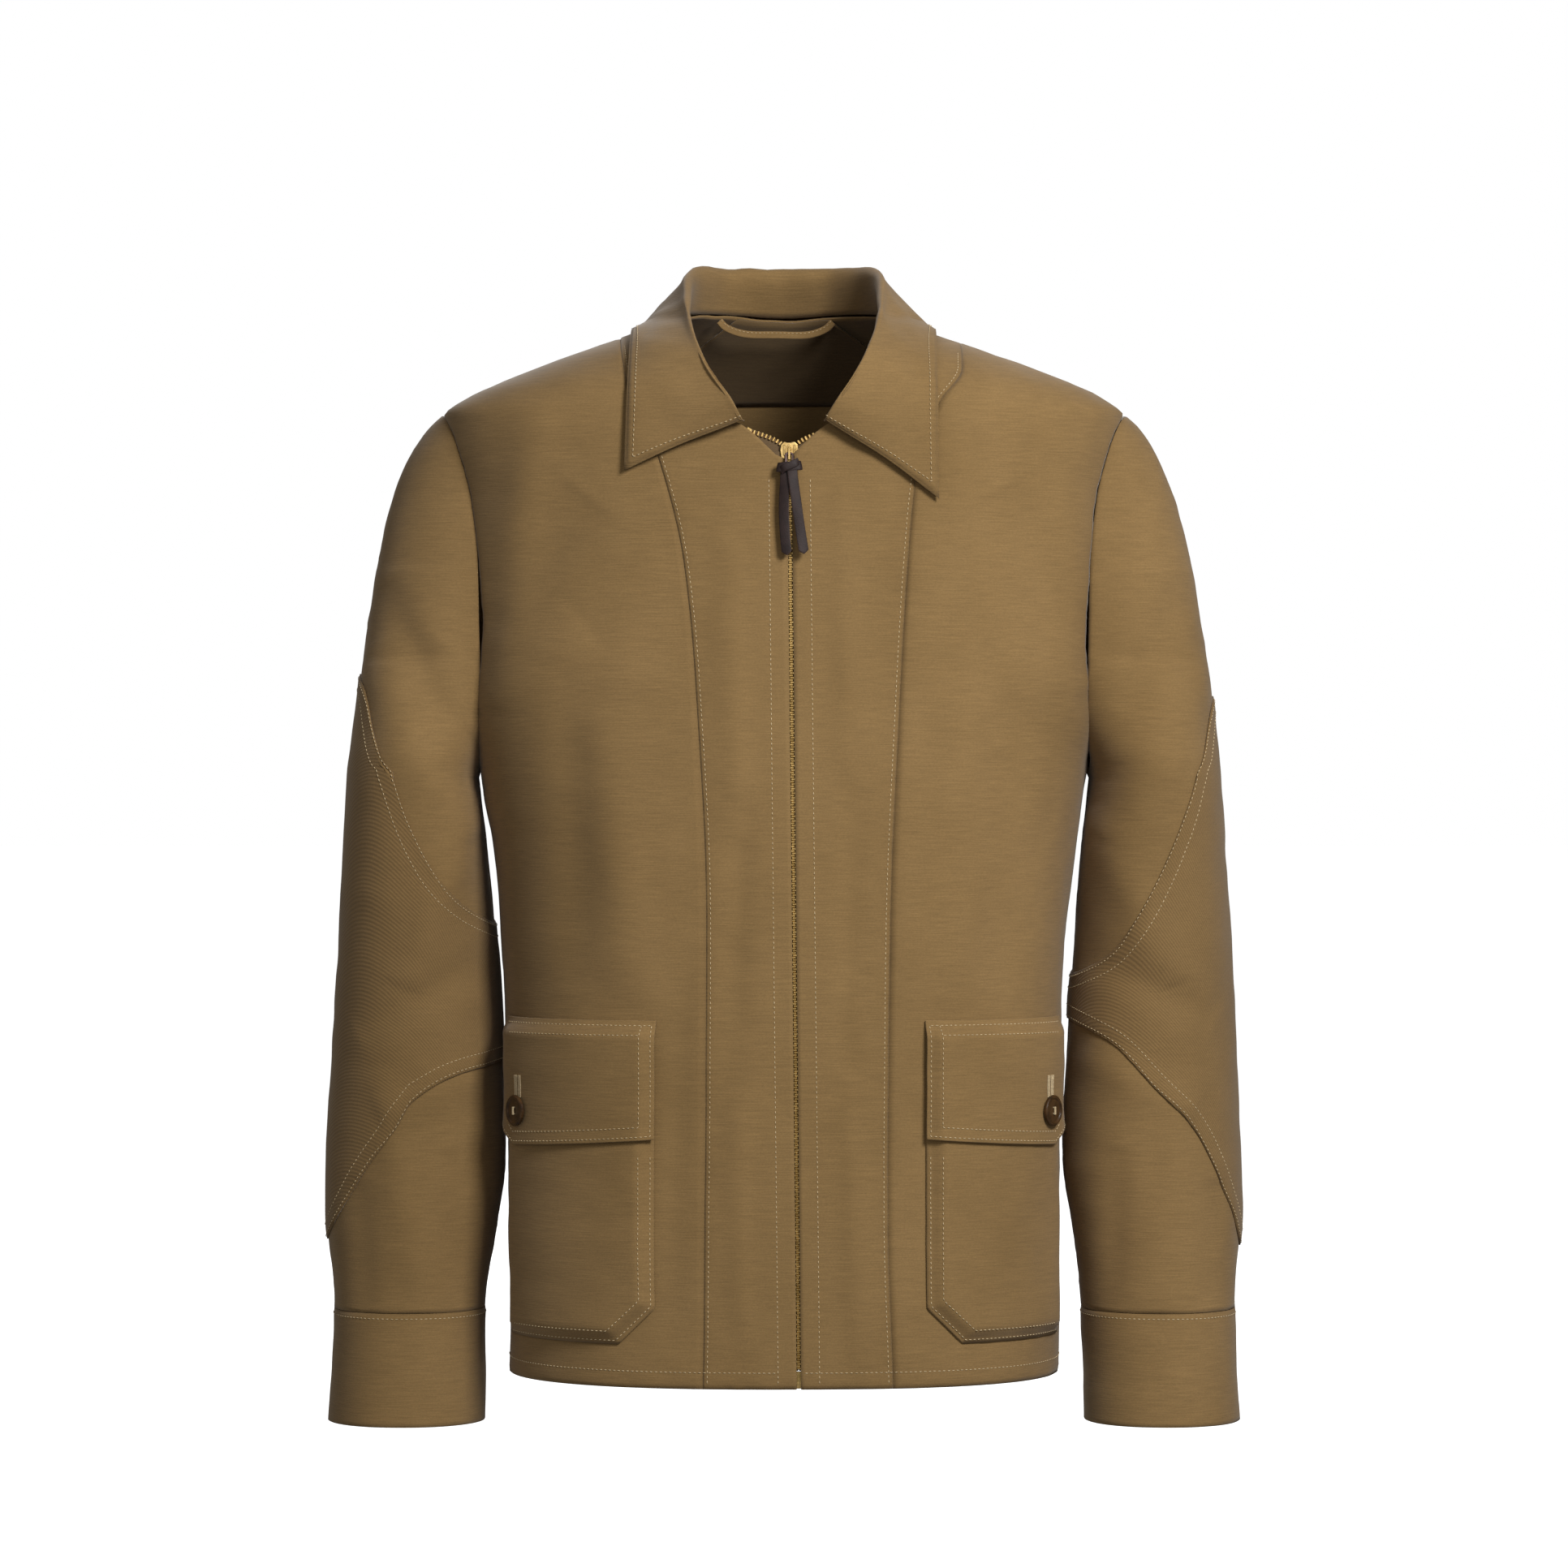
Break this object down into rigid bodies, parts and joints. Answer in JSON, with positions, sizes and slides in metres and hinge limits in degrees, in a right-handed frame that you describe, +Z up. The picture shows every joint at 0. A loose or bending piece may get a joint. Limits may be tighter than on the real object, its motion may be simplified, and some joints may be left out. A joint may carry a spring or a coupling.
{
  "type": "jacket",
  "caption": "Cotton drill work jacket with a zip front, pointed collar, set-in sleeves with elbow patches and cuffs, and patch pockets with buttoned flaps, shown worn on no one.",
  "frame": {"origin": "the middle of the back neck seam, where the jacket rests on the wearer", "axes": "+Z up, -Y out of the front, +X to the wearer's left"},
  "size_m": [0.5738, 0.2599, 0.724],
  "materials": {
    "drill": "woven",
    "bias_drill": "woven, cut on the bias",
    "drill_inside": "woven",
    "zip_tape": "woven",
    "brass": "tumbled",
    "leather": "waxed",
    "horn": "polished",
    "thread": "twisted",
    "label": "woven"
  },
  "bodies": {
    "jacket": {"left_centre_front": "drill", "right_centre_front": "drill", "left_side_front": "drill", "right_side_front": "drill", "back_panel": "drill", "back_neck_facing": "drill_inside", "hem_band": "drill_inside", "left_zip_facing": "drill_inside", "right_zip_facing": "drill_inside", "top_collar": "drill", "under_collar": "drill", "left_zip_chain": "brass", "right_zip_chain": "brass", "left_zip_tape": "zip_tape", "right_zip_tape": "zip_tape", "left_zip_top_stop": "brass", "right_zip_top_stop": "brass", "zip_box": "brass", "zip_pin": "brass", "left_pocket": "drill", "right_pocket": "drill", "left_pocket_button": "horn", "right_pocket_button": "horn", "left_button_thread": "thread", "right_button_thread": "thread", "label_patch": "drill", "size_label": "label"},
    "slider": {"zip_slider": "brass"},
    "pull": {"leather_pull": "leather"},
    "left_flap": {"left_pocket_flap": "drill"},
    "right_flap": {"right_pocket_flap": "drill"},
    "loop": {"hanger_loop": "drill"},
    "left_sleeve": {"left_sleeve_front": "drill", "left_sleeve_back": "drill", "left_elbow_patch": "bias_drill", "left_cuff": "drill"},
    "right_sleeve": {"right_sleeve_front": "drill", "right_sleeve_back": "drill", "right_elbow_patch": "bias_drill", "right_cuff": "drill"}
  },
  "joints": [
    {"name": "zip_slide", "type": "slide", "parent": "jacket", "child": "slider", "axis": [0.0103, -0.0309, -0.9995], "range_m": [0, 0.5462]},
    {"name": "pull_swing", "type": "hinge", "parent": "slider", "child": "pull", "pos_m": [0.00318, -0.11181, -0.09496], "axis": [-0.9999, 0, -0.0103], "range_deg": [0, 105]},
    {"name": "left_flap_lift", "type": "hinge", "parent": "jacket", "child": "left_flap", "pos_m": [0.14342, -0.09479, -0.4376], "axis": [-0.7568, -0.6536, 0], "range_deg": [0, 140]},
    {"name": "right_flap_lift", "type": "hinge", "parent": "jacket", "child": "right_flap", "pos_m": [-0.13994, -0.09752, -0.4376], "axis": [-0.7763, 0.6304, 0], "range_deg": [0, 140]},
    {"name": "loop_swing", "type": "hinge", "parent": "jacket", "child": "loop", "pos_m": [-0.041, 0.03899, -0.0018], "axis": [-0.9931, -0.1176, 0], "range_deg": [0, 120]},
    {"name": "left_sleeve_raise", "type": "hinge", "parent": "jacket", "child": "left_sleeve", "pos_m": [0.211, 0, -0.067], "axis": [0, -1, 0], "range_deg": [0, 35]},
    {"name": "right_sleeve_raise", "type": "hinge", "parent": "jacket", "child": "right_sleeve", "pos_m": [-0.211, 0, -0.067], "axis": [0, 1, 0], "range_deg": [0, 35]}
  ]
}
